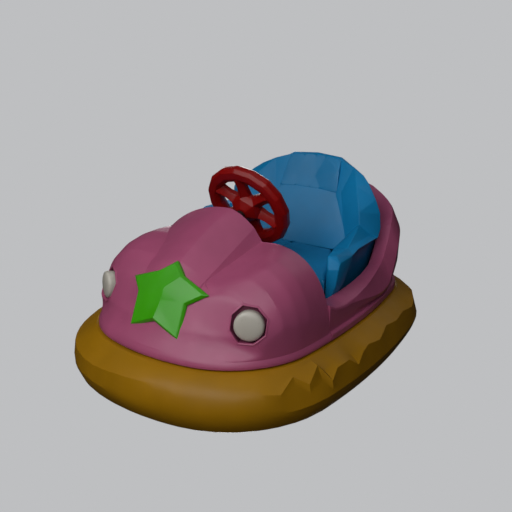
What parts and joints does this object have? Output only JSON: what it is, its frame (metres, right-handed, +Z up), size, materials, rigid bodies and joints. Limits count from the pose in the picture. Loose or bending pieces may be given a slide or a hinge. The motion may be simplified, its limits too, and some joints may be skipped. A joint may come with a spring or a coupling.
{
  "type": "bumper car",
  "caption": "Fairground bumper car with a lobed nose, wraparound seat and fat bumper tube, steered and driven by a swivelling wheel under the nose.",
  "frame": {"origin": "on the floor, at the middle of the car's length and width", "axes": "+X forward to the nose, +Y to the driver's left, +Z up"},
  "size_m": [1.4996, 1.112, 0.8112],
  "materials": {
    "pink_shell": "glossy moulded shell",
    "ochre_rubber": "smooth inflated rubber",
    "blue_vinyl": "smooth vinyl",
    "red_plastic": "glossy moulding",
    "green_plastic": "glossy moulding",
    "lamp_lens": "frosted lens",
    "black_paint": "satin black",
    "floor_plate": "worn tread plate",
    "grey_board": "dark grey paint",
    "bright_steel": "turned",
    "grey_casting": "painted casting",
    "motor_paint": "dark enamel",
    "black_plastic": "moulded",
    "wheel_paint": "grey paint",
    "tyre_rubber": "solid rubber"
  },
  "bodies": {
    "car_body": {"chassis_frame": "black_paint", "floor_pan": "floor_plate", "bumper_tube": "ochre_rubber", "bumper_channel": "black_paint", "front_hood": "pink_shell", "rear_shell": "pink_shell", "nose_star": "green_plastic", "headlight_bezel_left": "pink_shell", "headlight_bezel_right": "pink_shell", "headlight_lens_left": "lamp_lens", "headlight_lens_right": "lamp_lens", "dash_panel": "black_paint", "toe_board": "floor_plate", "accelerator_pedal": "black_plastic", "seat_base": "grey_board", "battery_pack": "black_plastic", "seat_shell": "blue_vinyl", "seat_arm_left": "blue_vinyl", "seat_arm_right": "blue_vinyl", "seat_cushion": "blue_vinyl", "seat_back_pad": "blue_vinyl", "headrest_pad": "blue_vinyl", "nose_bridge": "black_paint", "king_pin_housing": "grey_casting", "gearbox_stand": "black_paint", "steering_gearbox": "grey_casting", "steering_column": "bright_steel", "rear_axle": "bright_steel", "axle_bracket_left": "black_paint", "axle_bracket_right": "black_paint"},
    "steering_wheel": {"steering_wheel_rim": "red_plastic", "steering_wheel_spokes": "red_plastic", "steering_hub_cap": "red_plastic", "steering_shaft": "bright_steel"},
    "drive_unit": {"drive_fork": "black_paint", "king_pin": "bright_steel", "drive_axle": "bright_steel", "drive_motor": "motor_paint"},
    "drive_wheel": {"drive_wheel_rim": "wheel_paint", "drive_tyre": "tyre_rubber"},
    "rear_wheel_left": {"rear_rim_left": "wheel_paint", "rear_tyre_left": "tyre_rubber"},
    "rear_wheel_right": {"rear_rim_right": "wheel_paint", "rear_tyre_right": "tyre_rubber"}
  },
  "joints": [
    {"name": "steering_turn", "type": "hinge", "parent": "car_body", "child": "steering_wheel", "pos_m": [0.0546, 0, 0.6468], "axis": [-0.8965, 0, 0.4431], "continuous": true},
    {"name": "drive_unit_steer", "type": "hinge", "parent": "car_body", "child": "drive_unit", "pos_m": [0.385, 0, 0.24], "axis": [0, 0, 1], "continuous": true},
    {"name": "drive_wheel_spin", "type": "hinge", "parent": "drive_unit", "child": "drive_wheel", "pos_m": [0.385, 0, 0.105], "axis": [0, 1, 0], "continuous": true},
    {"name": "rear_wheel_left_spin", "type": "hinge", "parent": "car_body", "child": "rear_wheel_left", "pos_m": [-0.36, 0.222, 0.1], "axis": [0, 1, 0], "continuous": true},
    {"name": "rear_wheel_right_spin", "type": "hinge", "parent": "car_body", "child": "rear_wheel_right", "pos_m": [-0.36, -0.222, 0.1], "axis": [0, 1, 0], "continuous": true}
  ],
  "couplings": [
    {"joint": "drive_unit_steer", "follows": "steering_turn", "ratio": 1}
  ]
}
